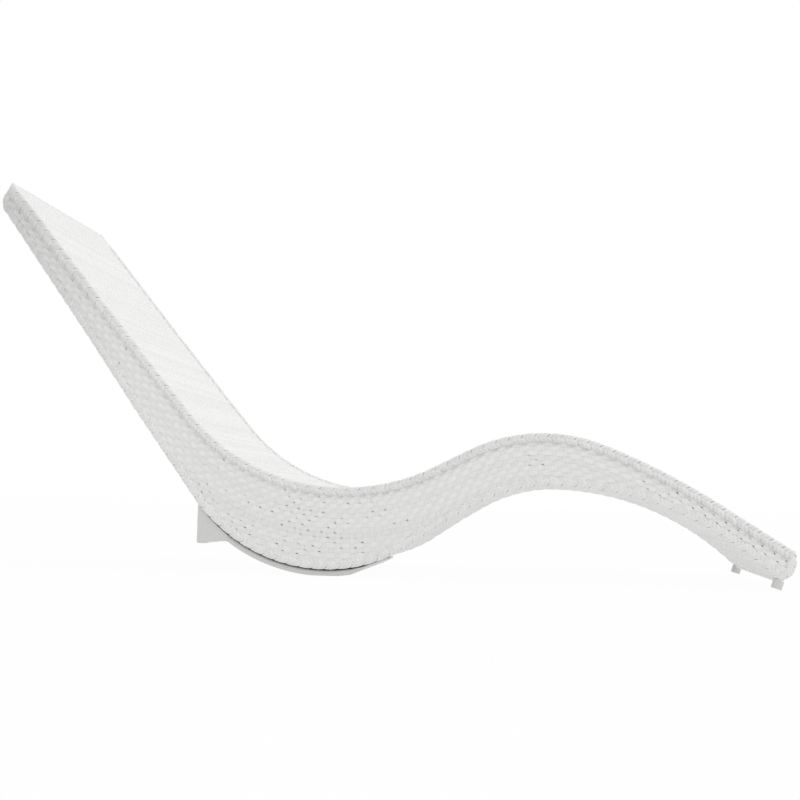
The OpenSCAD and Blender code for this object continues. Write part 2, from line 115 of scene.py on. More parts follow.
# How far the cane fills each corner, where 0 is a plain round and 1 a sharp corner
cornerReach = {"footTip": 2.6, "footHeel": 2.6, "headHeel": 0.8, "headTip": 2.0}
# How far the cane stands off the frame's nominal line, as pairs of the distance round the outline
# from the head tip and the height: padded towards the head, slack over the calves
proud = [
    (0, 0.0068), (0.15, 0.0045), (0.35, 0.0010), (0.60, -0.0010),  # the back
    (1.55, 0), (1.80, 0.0020), (2.24, 0.0030),  # from the crest down the legs
    (2.33, 0.0010),  # the foot end
    (2.60, 0), (3.00, 0.0010),  # below the legs
    (3.16, -0.0040),  # the rise in front of the base
    (3.30, -0.0005), (3.40, 0), (3.55, -0.0008), (3.74, -0.0017), (3.82, 0.0005),  # over the base
    (4.10, 0.0010), (4.30, -0.0020), (4.69, -0.0030),  # below the back
    (4.774, 0.0068),  # up the head end to its tip
]


def along(angle):
    return Vector((math.cos(math.radians(angle)), math.sin(math.radians(angle))))


def runLine(point, heading, runs, spacing=0.001):
    # runs are (length,) for straight ones and (radius, turn) for bends;
    # gives rows of x, z and heading, one each millimetre, and the last point
    rows = []
    for run in runs:
        turn = run[1] if len(run) > 1 else 0
        length = run[0] * math.radians(abs(turn)) if turn else run[0]
        steps = max(2, round(length / spacing))
        bend = math.copysign(run[0], turn) if turn else 0
        for step in range(steps + 1):
            share = step / steps
            if turn:
                spot = point + bend * (along(heading + 90) - along(heading + turn * share + 90))
            else:
                spot = point + length * share * along(heading)
            rows.append((spot.x, spot.y, heading + turn * share))
        point = Vector(rows[-1][:2])
        heading = heading + turn
    return np.array(rows), point


# The seat line, from the head to the foot
dip = Vector((0, side["seatHeight"]))
backEnd = dip + side["dipRadius"] * (Vector((0, 1)) + along(-90 - side["backAngle"]))
headTip = backEnd - side["back"] * along(-side["backAngle"])
seatRuns = [
    (side["back"],), (side["dipRadius"], side["backAngle"] + side["riseAngle"]), (side["rise"],),
    (side["crestRadius"], -side["riseAngle"]), (side["crestRadius"], -side["crestAngle"]),
    (side["legRadius"], side["crestAngle"] - side["legAngle"]),
]
crest = runLine(headTip, -side["backAngle"], seatRuns[:4])[1]
calf = runLine(headTip, -side["backAngle"], seatRuns)[1]
shinLength = (calf.y - side["footHeight"]) / math.sin(math.radians(side["legAngle"]))
seat, footTip = runLine(headTip, -side["backAngle"], seatRuns + [(shinLength,)])

# The underside line: straight down the back, round the belly, up the rise, over the arch and
# down the shin, where each run touches the next
outRadius = side["bellyRadius"] + side["plate"]
belly = Vector((-side["bellyShift"], math.sqrt(outRadius ** 2 - side["land"] ** 2 / 4)))
headHeel = headTip - side["headFace"] * along(90 - side["headLean"])
footHeel = footTip - side["footFace"] * along(90 - side["footLean"])
toBelly = belly - headHeel
underBack = math.degrees(math.atan2(toBelly.y, toBelly.x) - math.asin(side["bellyRadius"] / toBelly.length))
underBackLength = math.sqrt(toBelly.length_squared - side["bellyRadius"] ** 2)
archTop = crest + Vector((side["archShift"], -side["archDepth"]))
toArch = archTop - belly
archRadius = (toArch.length_squared - side["underRise"] ** 2 - side["bellyRadius"] ** 2) \
    / (2 * (side["bellyRadius"] + toArch.y))
toArchMiddle = archTop - Vector((0, archRadius)) - belly
underRise = math.degrees(math.atan2(toArchMiddle.y, toArchMiddle.x)
                         + math.asin((side["bellyRadius"] + archRadius) / toArchMiddle.length))
shin = footHeel - archTop
shinRadius = -shin.length_squared / (2 * shin.y)
shinTurn = math.degrees(math.atan2(shin.x, shinRadius + shin.y))
under, underEnd = runLine(headHeel, underBack, [
    (underBackLength,), (side["bellyRadius"], underRise - underBack), (side["underRise"],),
    (archRadius, -underRise), (shinRadius, -shinTurn)])
print("under line misses the foot heel by", round((underEnd - footHeel).length, 6))


def crownRun(start, end, lean, bulge):  # an end's crowned face, clockwise round the side view
    half = (end - start).length / 2
    radius = (half ** 2 + bulge ** 2) / (2 * bulge)
    turn = 2 * math.degrees(math.asin(half / radius))
    return runLine(start, lean - 90 + turn / 2, [(radius, -turn)])[0]


footCrown = crownRun(footTip, footHeel, -side["footLean"], side["footBulge"])
headCrown = crownRun(headHeel, headTip, 180 - side["headLean"], side["headBulge"])
midX = (headCrown[:, 0].min() + footCrown[:, 0].max()) / 2
print("middle", round(midX, 5))

# The closed outline, clockwise from the head: the rails' axis with the outward direction,
# turning like a fan at each corner; distance is measured along the outer face
nearCorner = 60  # two faces meet within this many of their rows, one each millimetre
fanSteps = 16
faces = [seat, footCrown, under[::-1], headCrown]
outward = [90, 90, -90, 90]  # turned from each face's heading
inner = []
for line, lean in zip(faces, outward):
    out = np.radians(line[:, 2] + lean)
    inner.append(np.column_stack([line[:, 0] - railDepth * np.cos(out),
                                  line[:, 1] - railDepth * np.sin(out), out]))
for i in range(4):
    one, two = inner[i], inner[(i + 1) % 4]
    gaps = np.hypot(one[-nearCorner:, None, 0] - two[None, :nearCorner, 0],
                    one[-nearCorner:, None, 1] - two[None, :nearCorner, 1])
    lastRow, firstRow = np.unravel_index(gaps.argmin(), gaps.shape)
    inner[i] = one[:len(one) - nearCorner + lastRow + 1]
    inner[(i + 1) % 4] = two[firstRow:]
outline, cornerRows = [], []
for i, fill in enumerate(cornerReach.values()):
    outline.append(np.column_stack([inner[i], np.ones(len(inner[i]))]))
    end, start = inner[i][-1], inner[(i + 1) % 4][0]
    turn = (start[2] - end[2] + math.pi) % (2 * math.pi) - math.pi
    cornerRows.append(sum(len(part) for part in outline) + fanSteps // 2)
    fan = np.linspace(0, 1, fanSteps + 1)
    toFace = np.minimum(fan, 1 - fan) * abs(turn)
    outline.append(np.column_stack([end[0] + (start[0] - end[0]) * fan, end[1] + (start[1] - end[1]) * fan,
                                    end[2] + turn * fan, 1 + fill * (1 / np.cos(toFace) - 1)]))
outline = np.concatenate(outline)
railX, railZ = outline[:, 0] - midX, outline[:, 1]
outAngle, reachOut = np.unwrap(outline[:, 2]), outline[:, 3]
distance = lengthAlong(np.column_stack([railX + railDepth * reachOut * np.cos(outAngle),
                                        railZ + railDepth * reachOut * np.sin(outAngle)]))
around = distance[-1]
corners = [distance[row] for row in cornerRows]
footTipAt, footHeelAt, headHeelAt, headTipAt = corners
reachOut = reachOut + np.interp(distance, *zip(*proud)) / railDepth
print("outline", round(around, 4), "m, corners at", [round(corner, 4) for corner in corners])


def railAt(at):  # at distances round the outline: rail axis, outward angle and reach into a corner
    at = np.mod(at, around)
    return [np.interp(at, distance, column) for column in (railX, railZ, outAngle, reachOut)]


def offFace(at, out, y):  # points standing out from the outer face by out, across the width at y
    x, z, angle, reach = railAt(at)
    lift = out + railDepth * np.where(out > -railDepth, reach, 1)
    return x + lift * np.cos(angle), y, z + lift * np.sin(angle)


def insideRails(x, z):  # whether points of the side view lie within the loop of the rails
    every = 4  # one row of the outline in four is enough here
    loopX, loopZ = railX[::every], railZ[::every]
    nextX, nextZ = np.roll(loopX, -1), np.roll(loopZ, -1)
    inside = np.zeros(x.shape, bool)
    for i in range(len(loopX)):
        if loopZ[i] != nextZ[i]:
            passes = (loopZ[i] > z) != (nextZ[i] > z)
            crossing = loopX[i] + (z - loopZ[i]) * (nextX[i] - loopX[i]) / (nextZ[i] - loopZ[i])
            inside ^= passes & (x < crossing)
    return inside


# Cane strands
rowSpacing = 2  # metres between the rows of one mesh, until they are laid
flatCrest = 1.8  # the more, the longer a strand runs along its crests and hollows
grain = {
    "halfWidth": 0.005,  # of a strand, as its grain sees it
    "rowTone": 0.37,  # each row reads its whiteness this far on
}


def flatStrand(steps, stepsAcross, thick):  # a straight flat strand, 1 m by 1 m, to be laid later
    deselectAll()
    bpy.ops.mesh.primitive_grid_add(x_subdivisions=steps, y_subdivisions=stepsAcross, size=1)
    strand = bpy.context.object
    applyModifier(strand, "SOLIDIFY", thickness=thick, offset=0)
    return strand


def strandRows(strand, count):
    applyModifier(strand, "ARRAY", count=count, use_relative_offset=False,
                  use_constant_offset=True, constant_offset_displace=(0, rowSpacing, 0))
    return strand


def lay(obj, place, tone):
    # place(row, run, across, above) gives x, y, z for a vertex: run goes from 0 to 1 along its
    # strand, across from -1 to 1, and above is its height over the strand's middle;
    # its fourth value is the length along the strand in metres, for the grain
    verts = obj.data.vertices
    flat = np.empty(len(verts) * 3)
    verts.foreach_get("co", flat)
    x, y, z = flat.reshape(-1, 3).T
    row = np.round(y / rowSpacing)
    across = 2 * (y - rowSpacing * row)
    newX, newY, newZ, length = place(row, x + 0.5, across, z)
    verts.foreach_set("co", np.column_stack([newX, newY, newZ]).ravel())
    grainAt = obj.data.attributes.new("cane", "FLOAT_VECTOR", "POINT")
    tones = row * grain["rowTone"] + tone
    grainAt.data.foreach_set("vector", np.column_stack([length, across * grain["halfWidth"], tones]).ravel())
    obj.data.update()
    return obj


def flattened(wave):  # a sine with longer crests
    return np.tanh(flatCrest * wave) / math.tanh(flatCrest)


# Seat, underside and end skins: cross strands over lengthwise stakes
skins = {
    "reach": 0.3095,  # half length of a cross strand, its ends lie under the braid
    "level": -0.0024,  # the stakes below the outer face
    "thick": 0.0010,
    "fromHead": 0.001,  # the seat starts this far down from the head's corner
    "stepsPerStake": 3, "stakeStep": 0.012, "fewestSteps": 4,
    "strandShift": 0.113, "stakeShift": 0.071,  # the next strand's grain starts this much further on
    "stakeTone": 50,
}
# Strand pitch, stake pitch and width, and how far a strand passes above and below the stakes
fine = {"pitch": 0.0086, "stakePitch": 0.0103, "stakeWidth": 0.0060, "swing": 0.0009}
coarse = {"pitch": 0.0095, "stakePitch": 0.0205, "stakeWidth": 0.0075, "swing": 0.0009}


def crossSkin(name, start, end, weave):
    count = round((end - start) / weave["pitch"])
    pitch = (end - start) / count
    reach, stakePitch = skins["reach"], weave["stakePitch"]
    steps = round(2 * reach / stakePitch * skins["stepsPerStake"])
    strands = strandRows(flatStrand(steps, 1, skins["thick"]), count)

    def place(row, run, across, above):
        y = (2 * run - 1) * reach
        swing = flattened(np.cos(math.pi * (y / stakePitch + row)))
        at = start + (row + 0.5 + across / 2) * pitch
        out = skins["level"] + weave["swing"] * swing + above
        return *offFace(at, out, y), y + row * skins["strandShift"]

    lay(strands, place, start)
    strands.name = name
    facesOut(strands)
    return strands


def crossStakes(name, start, end, weave):
    half = int(skins["reach"] / weave["stakePitch"])
    steps = max(skins["fewestSteps"], round((end - start) / skins["stakeStep"]))
    stakes = strandRows(flatStrand(steps, 1, skins["thick"]), 2 * half + 1)

    def place(row, run, across, above):
        y = (row - half) * weave["stakePitch"] + across * weave["stakeWidth"] / 2
        at = start + run * (end - start)
        return *offFace(at, skins["level"] + above, y), at + row * skins["stakeShift"]

    lay(stakes, place, skins["stakeTone"])
    stakes.name = name
    facesOut(stakes)
    return stakes


backTop = headTipAt - around + skins["fromHead"]
midSeat = (backTop + footTipAt) / 2
seatSkin = [
    crossSkin("seat_strands_back", backTop, midSeat, fine),
    crossSkin("seat_strands_legs", midSeat, footTipAt, fine),
    crossStakes("seat_stakes_back", backTop, midSeat, fine),
    crossStakes("seat_stakes_legs", midSeat, footTipAt, fine),
]
print("seat woven")
underSkin = [crossSkin("underside_strands", footHeelAt, headHeelAt, coarse),
             crossStakes("underside_stakes", footHeelAt, headHeelAt, coarse)]
print("underside woven")
headSkin = [crossSkin("head_end_strands", headHeelAt, headTipAt, coarse),
            crossStakes("head_end_stakes", headHeelAt, headTipAt, coarse)]
footSkin = [crossSkin("foot_end_strands", footTipAt, footHeelAt, coarse),
            crossStakes("foot_end_stakes", footTipAt, footHeelAt, coarse)]
print("ends woven")

# Side skins: flat strands along the seat line over stakes across it
panel = {
    "offMiddle": 0.3202,  # middle of the skin's thickness from the middle plane
    "pitch": 0.0115, "stakePitch": 0.0158, "width": 0.0120, "thick": 0.0012,
    "swing": 0.0018, "skew": 0.22,  # a crest leans across its strand by this much of a stake pitch
    "stakeWidth": 0.0070, "first": 0.0190, "crown": 0.0008,
    "drawn": 0.68,  # share of its half width that a strand's edge draws back at an opening
    "overrun": 0.09,  # the seat line goes on straight past both ends, so that the rows reach them
    "step": 0.002, "deepest": 0.30,  # the side view is searched in these steps, down to this depth
    "shortest": 10,  # a row of no more steps than this is left out
    "stepsPerStake": 6, "stakeStep": 0.012, "fewestSteps": 3,
    "rowShift": 0.217, "stakeShift": 0.13,  # the next strand's grain starts this much further on
    "rowTone": 0.61, "stakeTone": 0.29,
}
openings = {
    "anywhere": 0.03,  # share of the gaps that open away from the loose places
    "chance": 1.5,  # raises the shares, as every other gap stays shut
    "least": 0.5,  # the narrowest of them, as a share of the widest
    "half": 0.24,  # half the length of one, in stake pitches
    "seed": 23, "rows": 40, "gaps": 180,
}
loosePlaces = [  # where the weave opens: distance on the seat line, depth, size, share of gaps that open
    (0.10, 0.050, 0.07, 0.25), (0.28, 0.050, 0.06, 0.20), (0.87, 0.110, 0.035, 0.40),
    (0.96, 0.150, 0.030, 0.45), (1.04, 0.055, 0.045, 0.55), (1.07, 0.110, 0.040, 0.50),
    (1.14, 0.075, 0.040, 0.50), (1.17, 0.145, 0.035, 0.35), (1.22, 0.050, 0.030, 0.30),
    (1.62, 0.045, 0.030, 0.30), (1.66, 0.100, 0.030, 0.30), (1.93, 0.050, 0.050, 0.50),
    (2.03, 0.045, 0.060, 0.70), (2.12, 0.060, 0.070, 0.90), (2.21, 0.065, 0.070, 0.90),
]
overrun = panel["overrun"]
panelStart = headTip - overrun * along(-side["backAngle"])
panelRuns = [(overrun,)] + seatRuns + [(shinLength + overrun,)]
panelLine = runLine(panelStart, -side["backAngle"], panelRuns)[0]
panelAt = lengthAlong(panelLine[:, :2]) - overrun
seatAt = np.arange(panelAt[0], panelAt[-1], panel["step"])


def belowSeat(at, depth, y):
    x, z, heading = [np.interp(at, panelAt, column) for column in panelLine.T]
    return x - midX + depth * np.sin(np.radians(heading)), y, z - depth * np.cos(np.radians(heading))


# How far down the side reaches from each place on the seat line, and the stakes counted along its middle
depths = np.arange(2 * panel["step"], panel["deepest"], panel["step"])
within = np.array([insideRails(*belowSeat(seatAt, depth, 0)[::2]) for depth in depths])
crossed = within.any(axis=0)
shallow = depths[within.argmax(axis=0)]
deep = depths[len(depths) - 1 - within[::-1].argmax(axis=0)]
halfway = np.interp(seatAt, seatAt[crossed], (shallow + deep)[crossed] / 2)
stakeCount = lengthAlong(np.column_stack(belowSeat(seatAt, halfway, 0)[::2])) / panel["stakePitch"]
chances = np.random.default_rng(openings["seed"]).random((openings["rows"], openings["gaps"], 2))


def drawnBack(count, row, at, depth):
    # how far a strand's lower edge draws back in the gaps between stakes, as a share of the most
    gap = np.round(count).astype(int)
    share = openings["anywhere"]
    for placeAt, placeDepth, size, most in loosePlaces:
        share = share + most * np.exp(-((at - placeAt) ** 2 + (depth - placeDepth) ** 2) / size ** 2)
    chance, amount = chances[row, gap].T
    # strands that dip under a stake together leave the gap between them, so gaps lie on a diagonal
    opens = ((gap + row) % 2 == 0) * (chance < openings["chance"] * share)
    width = openings["least"] + (1 - openings["least"]) * amount
    return opens * width * np.clip(1 - np.abs(count - gap) / openings["half"], 0, 1)


def sideRow(row, depth, low, high):
    steps = max(panel["fewestSteps"], round((high - low) * panel["stepsPerStake"]))
    strand = flatStrand(steps, 2, panel["thick"])

    def place(_, run, across, above):
        count = low + (high - low) * run
        at = np.interp(count, stakeCount, seatAt)
        swing = flattened(np.sin(math.pi * (count + row + panel["skew"] * across)))
        drawn = panel["drawn"] * drawnBack(count, row, at, depth) * (across > 0)
        half = panel["width"] / 2 * (1 - drawn)
        y = panel["offMiddle"] + panel["swing"] * swing + panel["crown"] * (1 - across ** 2) + above
        return *belowSeat(at, depth + across * half, -y), at + row * panel["rowShift"]

    return lay(strand, place, row * panel["rowTone"])


def sideStake(number, at):
    top, bottom = np.interp(at, seatAt, shallow), np.interp(at, seatAt, deep)
    steps = max(panel["fewestSteps"], round((bottom - top) / panel["stakeStep"]))
    strand = flatStrand(steps, 1, panel["thick"])

    def place(_, run, across, above):
        depth = top + run * (bottom - top)
        spot = belowSeat(at + across * panel["stakeWidth"] / 2, depth, -(panel["offMiddle"] + above))
        return *spot, depth + number * panel["stakeShift"]

    return lay(strand, place, panel["stakeTone"])


rightParts = []
row = 0
depth = panel["first"]
while depth < depths[-1]:
    inside = insideRails(*belowSeat(seatAt, depth - panel["width"] / 4, 0)[::2])
    edges = np.flatnonzero(np.diff(np.concatenate([[0], inside.astype(int), [0]])))
    for first, last in zip(edges[::2], edges[1::2]):
        if last - first > panel["shortest"]:
            rightParts.append(sideRow(row, depth, stakeCount[first], stakeCount[last - 1]))
    row += 1
    depth += panel["pitch"]
print(row, "rows on a side")

first, last = np.flatnonzero(crossed)[[0, -1]]
stakeMiddles = np.arange(math.ceil(stakeCount[first]), int(stakeCount[last])) + 0.5
for number, at in enumerate(np.interp(stakeMiddles, stakeCount, seatAt)):
    rightParts.append(sideStake(number, at))
sideRight = joinAll(rightParts, "side_panel_right")
facesOut(sideRight)
print("side panel woven,", len(sideRight.data.polygons), "faces")

# Edge braids: strands in threes cross over the rail, along the seat and back below
edging = {
    "railY": 0.3104,  # a rail's axis from the middle plane
    "pitch": 0.031,
    "lap": 0.0060,  # it laps the skin by this
    "lean": 0.80, "width": 0.0073, "gap": 0.0004, "thick": 0.0012,
    "crown": 0.0012,  # the middle of three strands stands above their edges
    "round": 0.0006,  # and the middle of each strand above its own
    "pulled": 0.06,  # it is pulled flat round the head corner within this
    "tightest": 0.4,  # share of its swing and crown that is left there
    "over": 66,  # angle round the rail, from the side face, where the strands that lean forward lie on top
    "tuckedSide": (0.0030, 0.005),  # how far its strands dip at the side panel, and within what width
    "tuckedSkin": (0.0022, 0.006),  # the same at the skin that it laps
    "steps": 16,
    "grainLength": 0.05, "grainShift": 0.19, "wayTone": 7,
}
# Radius round the rail, how many degrees it reaches past the rail's side, and how far strands pass
# above and below each other
upperEdge = {"radius": 0.0142, "under": 12, "swing": 0.0024}
lowerEdge = {"radius": 0.0124, "under": 30, "swing": 0.0013}
upperOverlap = {"head": 0.004, "foot": 0.006}  # the upper braid runs on past the corners by this


def overRail(at, wrap, out, edge):
    # wrap is the way round the rail, from under its side face up to the skin that the braid laps
    x, z, angle, reach = railAt(at)
    arc = edge["radius"] * math.radians(90 + edge["under"])
    turn = np.minimum(wrap, arc) / edge["radius"] - math.radians(edge["under"])
    ring = edge["radius"] + out
    lift = (ring + railDepth * (reach - 1) * (turn > 0)) * np.sin(turn)
    y = edging["railY"] + ring * np.cos(turn) - np.maximum(wrap - arc, 0)
    return x + lift * np.cos(angle), -y, z + lift * np.sin(angle)


def braid(name, start, end, edge):
    units = round((end - start) / edging["pitch"])
    unit = (end - start) / units
    lean = edging["lean"]
    slant = math.cos(math.atan(lean))
    band = edge["radius"] * math.radians(90 + edge["under"]) + edging["lap"]
    top = edge["radius"] * math.radians(edge["under"] + edging["over"])
    sideDip, sideWidth = edging["tuckedSide"]
    skinDip, skinWidth = edging["tuckedSkin"]
    threes = (-1, 0, 1)
    strands = []
    for way in (1, -1):
        for shift in threes:
            strand = strandRows(flatStrand(edging["steps"], 2, edging["thick"]), units)

            def place(row, run, across, above):
                wrap = run * band
                aside = shift * (edging["width"] + edging["gap"]) + across * edging["width"] / 2
                at = start + (row + 0.5) * unit + way * lean * (wrap - band / 2) + aside / slant
                lifted = way * np.cos(2 * math.pi * lean * (wrap - top) / unit)
                tuck = sideDip * np.clip(1 - wrap / sideWidth, 0, 1) \
                    + skinDip * np.clip(1 - (band - wrap) / skinWidth, 0, 1)
                crown = edging["crown"] * (1 - ((shift + across / 2) / (len(threes) / 2)) ** 2) \
                    + edging["round"] * (1 - across ** 2)
                fromTip = np.minimum(np.mod(at - headTipAt, around), np.mod(headTipAt - at, around))
                loose = np.clip(fromTip / edging["pulled"], edging["tightest"], 1)
                out = loose * (edge["swing"] * lifted + crown) - tuck + above
                length = run * edging["grainLength"] + row * edging["grainShift"]
                return *overRail(at, wrap, out, edge), length

            strands.append(lay(strand, place, edging["wayTone"] * way + shift))
    whole = joinAll(strands, name)
    facesOut(whole)
    print(name, len(whole.data.polygons), "faces")
    return whole


upperRight = braid("upper_edge_braid_right", headTipAt - around - upperOverlap["head"],
                   footTipAt + upperOverlap["foot"], upperEdge)
lowerRight = braid("lower_edge_braid_right", footTipAt, headTipAt, lowerEdge)

sideLeft = mirrored(sideRight, "side_panel_left")
upperLeft = mirrored(upperRight, "upper_edge_braid_left")
lowerLeft = mirrored(lowerRight, "lower_edge_braid_left")


# Materials
def linear(hexColor):  # sRGB hex to the linear colour a socket takes
    parts = [int(hexColor[i:i + 2], 16) / 255 for i in (1, 3, 5)]
    return [c / 12.92 if c <= 0.04045 else ((c + 0.055) / 1.055) ** 2.4 for c in parts] + [1]


def perMetre(size):  # a pattern's scale from its real size in millimetres
    return 1000 / size


def addNode(tree, kind, settings=None, **links):
    # i0, i1 and so on are sockets by number, other keys are sockets by name;
    # a value that is a node's output is linked, any other is set on the socket
    node = tree.nodes.new(kind)
    for key, value in (settings or {}).items():
        setattr(node, key, value)
    for key, value in links.items():
        byNumber = key[0] == "i" and key[1:].isdigit()
        socket = node.inputs[int(key[1:]) if byNumber else key.replace("_", " ")]
        if isinstance(value, bpy.types.NodeSocket):
            tree.links.new(value, socket)
        else:
            socket.default_value = value
    return node


def newMaterial(name):
    material = bpy.data.materials.new(name)
    material.use_nodes = True
    material.node_tree.nodes.clear()
    return material, material.node_tree


def finishMaterial(tree, shader):
    addNode(tree, "ShaderNodeOutputMaterial", Surface=shader.outputs[0])


colorMix = {"data_type": "RGBA"}

# Extruded flat polyethylene cane: fine die lines along each strand break up its satin gloss,
# and strands differ a little in whiteness
caneLook = {
    "dieLine": 0.41667, "dieLineRun": 33.333,  # width and length in millimetres
    "marble": 2.5, "marbleRun": 5.8824,  # the same for its cloudy patches
    "marbleTone": 30,  # how far the patches of the next strand differ
    # painted shade: greys mixed into the cane on the sides, darkest at the head end
    "paintedShadeDull": "#D3D3D2", "paintedShadeBright": "#E2E2E1",
    "sideFrom": 0.313, "sideTo": 0.322,  # painted shade starts and is full at these distances off the middle plane
    "headAt": -0.95, "paintedShadeTo": -0.60,  # places along the lounger with the most painted shade and with the least
}


def caneMaterial(name, dull, bright, leastPaintedShade):
    material, tree = newMaterial(name)
    cane = addNode(tree, "ShaderNodeAttribute", {"attribute_name": "cane"})
    lines = addNode(tree, "ShaderNodeMapping", i0=cane.outputs["Vector"],
                    Scale=(perMetre(caneLook["dieLineRun"]), perMetre(caneLook["dieLine"]), 1))
    dieLines = addNode(tree, "ShaderNodeTexNoise", Vector=lines.outputs[0], Scale=1.0, Detail=3.0)
    parted = addNode(tree, "ShaderNodeSeparateXYZ", i0=cane.outputs["Vector"])
    batch = addNode(tree, "ShaderNodeTexWhiteNoise", {"noise_dimensions": "1D"}, W=parted.outputs[2])
    patches = addNode(tree, "ShaderNodeMapping", i0=cane.outputs["Vector"],
                      Scale=(perMetre(caneLook["marbleRun"]), perMetre(caneLook["marble"]),
                             caneLook["marbleTone"]))
    marbling = addNode(tree, "ShaderNodeTexNoise", Vector=patches.outputs[0], Scale=1.0, Detail=1.0)
    both = addNode(tree, "ShaderNodeMath", {"operation": "ADD"}, i0=batch.outputs[0], i1=marbling.outputs[0])
    share = addNode(tree, "ShaderNodeMapRange", Value=both.outputs[0], From_Min=0.45, From_Max=1.55)
    white = addNode(tree, "ShaderNodeMix", colorMix, i0=share.outputs[0], i6=linear(dull),
                    i7=linear(bright))
    # painted shade: the sides get a grey mixed in, most of all at the head end
    spot = addNode(tree, "ShaderNodeTexCoord")
    spot = addNode(tree, "ShaderNodeSeparateXYZ", i0=spot.outputs["Object"])
    aside = addNode(tree, "ShaderNodeMath", {"operation": "ABSOLUTE"}, i0=spot.outputs[1])
    aside = addNode(tree, "ShaderNodeMapRange", Value=aside.outputs[0],
                    From_Min=caneLook["sideFrom"], From_Max=caneLook["sideTo"])
    headShade = addNode(tree, "ShaderNodeMapRange", Value=spot.outputs[0], From_Min=caneLook["headAt"],
                      From_Max=caneLook["paintedShadeTo"], To_Min=1.0, To_Max=leastPaintedShade)
    paintedShade = addNode(tree, "ShaderNodeMath", {"operation": "MULTIPLY"}, i0=aside.outputs[0],
                   i1=headShade.outputs[0])
    grey = addNode(tree, "ShaderNodeMix", colorMix, i0=share.outputs[0],
                   i6=linear(caneLook["paintedShadeDull"]), i7=linear(caneLook["paintedShadeBright"]))
    color = addNode(tree, "ShaderNodeMix", colorMix, i0=paintedShade.outputs[0], i6=white.outputs[2],
                    i7=grey.outputs[2])
    satin = addNode(tree, "ShaderNodeMapRange", Value=dieLines.outputs[0], To_Min=0.36, To_Max=0.52)
    bump = addNode(tree, "ShaderNodeBump", Strength=0.2, Distance=0.0002, Height=dieLines.outputs[0])
    shader = addNode(tree, "ShaderNodeBsdfPrincipled", Base_Color=color.outputs[2],
                     Roughness=satin.outputs[0], IOR=1.51, Normal=bump.outputs[0])
    finishMaterial(tree, shader)
    return material


# Gel-coated moulding: smooth satin white with the faint unevenness of a hand-finished mould
gelcoatLook = {"dull": "#DBDBDA", "bright": "#E0E0DF", "ripple": 55.556}


def gelcoatMoulding():
    material, tree = newMaterial("gelcoat_moulding")
    spot = addNode(tree, "ShaderNodeTexCoord")
    ripple = addNode(tree, "ShaderNodeTexNoise", Vector=spot.outputs["Object"],
                     Scale=perMetre(gelcoatLook["ripple"]), Detail=2.0)
    color = addNode(tree, "ShaderNodeMix", colorMix, i0=ripple.outputs[0],
                    i6=linear(gelcoatLook["dull"]), i7=linear(gelcoatLook["bright"]))
    satin = addNode(tree, "ShaderNodeMapRange", Value=ripple.outputs[0], To_Min=0.30, To_Max=0.42)
    bump = addNode(tree, "ShaderNodeBump", Strength=0.05, Distance=0.001, Height=ripple.outputs[0])
    shader = addNode(tree, "ShaderNodeBsdfPrincipled", Base_Color=color.outputs[2],
                     Roughness=satin.outputs[0], IOR=1.5, Normal=bump.outputs[0])
    finishMaterial(tree, shader)
    return material


# Injection-moulded polypropylene glides: duller, slightly grey white
glideLook = {"color": "#DADAD9", "grain": 1.1111}


def mouldedPolypropylene():
    material, tree = newMaterial("moulded_polypropylene")
    spot = addNode(tree, "ShaderNodeTexCoord")
    grains = addNode(tree, "ShaderNodeTexNoise", Vector=spot.outputs["Object"],
                     Scale=perMetre(glideLook["grain"]), Detail=2.0)
    dull = addNode(tree, "ShaderNodeMapRange", Value=grains.outputs[0], To_Min=0.42, To_Max=0.55)
    bump = addNode(tree, "ShaderNodeBump", Strength=0.1, Distance=0.0002, Height=grains.outputs[0])
    shader = addNode(tree, "ShaderNodeBsdfPrincipled", Base_Color=linear(glideLook["color"]),
                     Roughness=dull.outputs[0], IOR=1.49, Normal=bump.outputs[0])
    finishMaterial(tree, shader)
    return material


# Extruded aluminium tube, mill finish: soft drawn streaks and a grey metal gloss
tubeLook = {"color": "#E6E7E7", "streak": 1.1111, "streakRun": 16.667}


def millFinishAluminium():
    material, tree = newMaterial("mill_finish_aluminium")
    spot = addNode(tree, "ShaderNodeTexCoord")
    streakScale = perMetre(tubeLook["streak"])
    drawn = addNode(tree, "ShaderNodeMapping", i0=spot.outputs["Object"],
                    Scale=(perMetre(tubeLook["streakRun"]), streakScale, streakScale))
    streaks = addNode(tree, "ShaderNodeTexNoise", Vector=drawn.outputs[0], Scale=1.0, Detail=2.0)
    gloss = addNode(tree, "ShaderNodeMapRange", Value=streaks.outputs[0], To_Min=0.28, To_Max=0.45)
    shader = addNode(tree, "ShaderNodeBsdfPrincipled", Base_Color=linear(tubeLook["color"]),
                     Metallic=1.0, Roughness=gloss.outputs[0])
    finishMaterial(tree, shader)
    return material


# Zinc-plated steel fasteners: bright and bluish, faintly mottled
zincLook = {"color": "#C9CCD0", "mottle": 2.0}


def zincPlatedSteel():
    material, tree = newMaterial("zinc_plated_steel")
    spot = addNode(tree, "ShaderNodeTexCoord")
    mottle = addNode(tree, "ShaderNodeTexNoise", Vector=spot.outputs["Object"],
                     Scale=perMetre(zincLook["mottle"]), Detail=2.0)
    gloss = addNode(tree, "ShaderNodeMapRange", Value=mottle.outputs[0], To_Min=0.22, To_Max=0.38)
    shader = addNode(tree, "ShaderNodeBsdfPrincipled", Base_Color=linear(zincLook["color"]),
                     Metallic=1.0, Roughness=gloss.outputs[0])
    finishMaterial(tree, shader)
    return material


